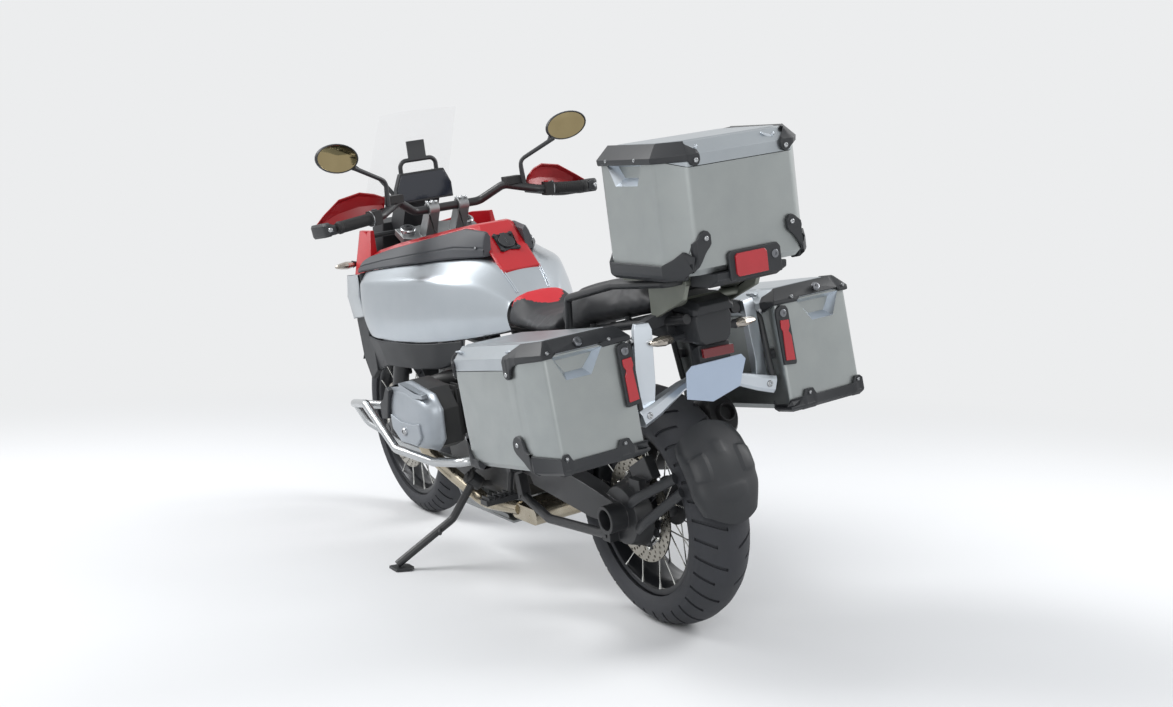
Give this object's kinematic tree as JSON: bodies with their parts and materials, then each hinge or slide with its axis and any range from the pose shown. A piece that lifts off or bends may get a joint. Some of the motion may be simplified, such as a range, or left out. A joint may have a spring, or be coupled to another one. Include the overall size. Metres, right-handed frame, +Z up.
{
  "type": "adventure motorcycle",
  "caption": "Large adventure motorcycle leaning on its side stand, with a flat twin engine, spoked wheels, two side cases and a top case with opening lids.",
  "frame": {"origin": "middle of the footprint of the overall box, on the floor", "axes": "+X forward, +Y to the rider's left, +Z straight up; the motorcycle leans 9.2 degrees to its left on its side stand"},
  "size_m": [2.3733, 1.0266, 1.3893],
  "materials": {
    "frame_paint": "satin black powder coat",
    "engine_paint": "dark grey casting paint",
    "cast_silver": "blasted casting, satin",
    "stainless": "bright drawn tube",
    "silencer_coat": "matt black heat-proof coat",
    "black_plastic": "grained black moulding",
    "brushed_alu": "brushed, clear coated",
    "pad_rubber": "fine grained dark grey",
    "red_plastic": "satin red moulding",
    "black_coat": "satin black",
    "pale_plastic": "silver grey moulding",
    "clear_screen": "clear",
    "seat_cover": "grained black seat cover with a red inset",
    "cast_green": "grey-green coated casting",
    "plate_blank": "blank light blue-grey",
    "clear_lens": "clear faceted lens",
    "grip_rubber": "ribbed black rubber",
    "tyre": "road tyre",
    "rim_black": "black rim with bright spokes and discs"
  },
  "bodies": {
    "chassis": {"main_frame": "frame_paint", "rear_subframe": "frame_paint", "engine_block": "engine_paint", "cylinders": "engine_paint", "head_covers": "cast_silver", "exhaust_headers": "stainless", "silencer": "silencer_coat", "skid_plate": "stainless", "crash_bars": "stainless", "telelever_arm": "frame_paint", "spring_struts": "frame_paint", "swing_arm": "frame_paint", "rear_hugger": "black_plastic", "footrests": "stainless", "fuel_tank": "brushed_alu", "tank_pads": "pad_rubber", "tank_cover": "red_plastic", "filler_plate": "black_coat", "side_trim": "black_plastic", "radiator_cowls": "pale_plastic", "radiators": "black_coat", "front_fairing": "red_plastic", "headlight": "black_plastic", "windscreen": "clear_screen", "cockpit_frame": "black_plastic", "rider_seat": "seat_cover", "pillion_seat": "seat_cover", "grab_rails": "stainless", "luggage_rack": "cast_green", "tail_unit": "black_plastic", "number_plate": "plate_blank", "indicators": "clear_lens", "case_carriers": "black_coat", "side_box_left": "brushed_alu", "side_box_right": "brushed_alu", "top_box": "brushed_alu", "case_guards": "black_plastic", "top_case_guards": "black_plastic"},
    "steering": {"fork": "frame_paint", "top_yoke": "cast_silver", "handlebar": "black_coat", "bar_controls_left": "grip_rubber", "bar_controls_right": "grip_rubber", "handguards": "red_plastic", "mirrors": "black_plastic", "front_mudguard": "black_plastic", "front_calipers": "black_coat"},
    "front_wheel": {"front_tyre": "tyre", "front_wheel": "rim_black"},
    "rear_wheel": {"rear_tyre": "tyre", "rear_wheel": "rim_black"},
    "side_stand": {"side_stand": "black_coat"},
    "fuel_cap": {"fuel_cap": "black_coat"},
    "side_lid_left": {"side_lid_left": "brushed_alu", "side_lid_guards_left": "black_plastic"},
    "side_lid_right": {"side_lid_right": "brushed_alu", "side_lid_guards_right": "black_plastic"},
    "top_lid": {"top_lid": "brushed_alu", "top_lid_guards": "black_plastic"}
  },
  "joints": [
    {"name": "steering", "type": "hinge", "parent": "chassis", "child": "steering", "pos_m": [0.48275, 0.02089, 0.98492], "axis": [-0.4415, 0.1435, 0.8857], "range_deg": [-35, 35]},
    {"name": "front_wheel_spin", "type": "hinge", "parent": "steering", "child": "front_wheel", "pos_m": [0.8617, -0.08667, 0.32082], "axis": [0, 0.9871, -0.1599], "continuous": true},
    {"name": "rear_wheel_spin", "type": "hinge", "parent": "chassis", "child": "rear_wheel", "pos_m": [-0.6723, -0.08779, 0.31391], "axis": [0, 0.9871, -0.1599], "continuous": true},
    {"name": "side_stand_fold", "type": "hinge", "parent": "chassis", "child": "side_stand", "pos_m": [0.0917, 0.07752, 0.25877], "axis": [0, 0.8052, 0.593], "range_deg": [0, 85]},
    {"name": "side_lid_left_hinge", "type": "hinge", "parent": "chassis", "child": "side_lid_left", "pos_m": [-0.47698, 0.3102, 0.68208], "axis": [0, 0.9871, -0.1599], "range_deg": [0, 90]},
    {"name": "side_lid_right_hinge", "type": "hinge", "parent": "chassis", "child": "side_lid_right", "pos_m": [-0.47698, -0.34921, 0.78888], "axis": [0, 0.9871, -0.1599], "range_deg": [0, 90]},
    {"name": "top_lid_hinge", "type": "hinge", "parent": "chassis", "child": "top_lid", "pos_m": [-1.0233, -0.14484, 1.2207], "axis": [1, 0, 0], "range_deg": [0, 90]},
    {"name": "fuel_cap_hinge", "type": "hinge", "parent": "chassis", "child": "fuel_cap", "pos_m": [0.02397, 0.02285, 0.997], "axis": [0, 0.9871, -0.1599], "range_deg": [0, 95]}
  ]
}
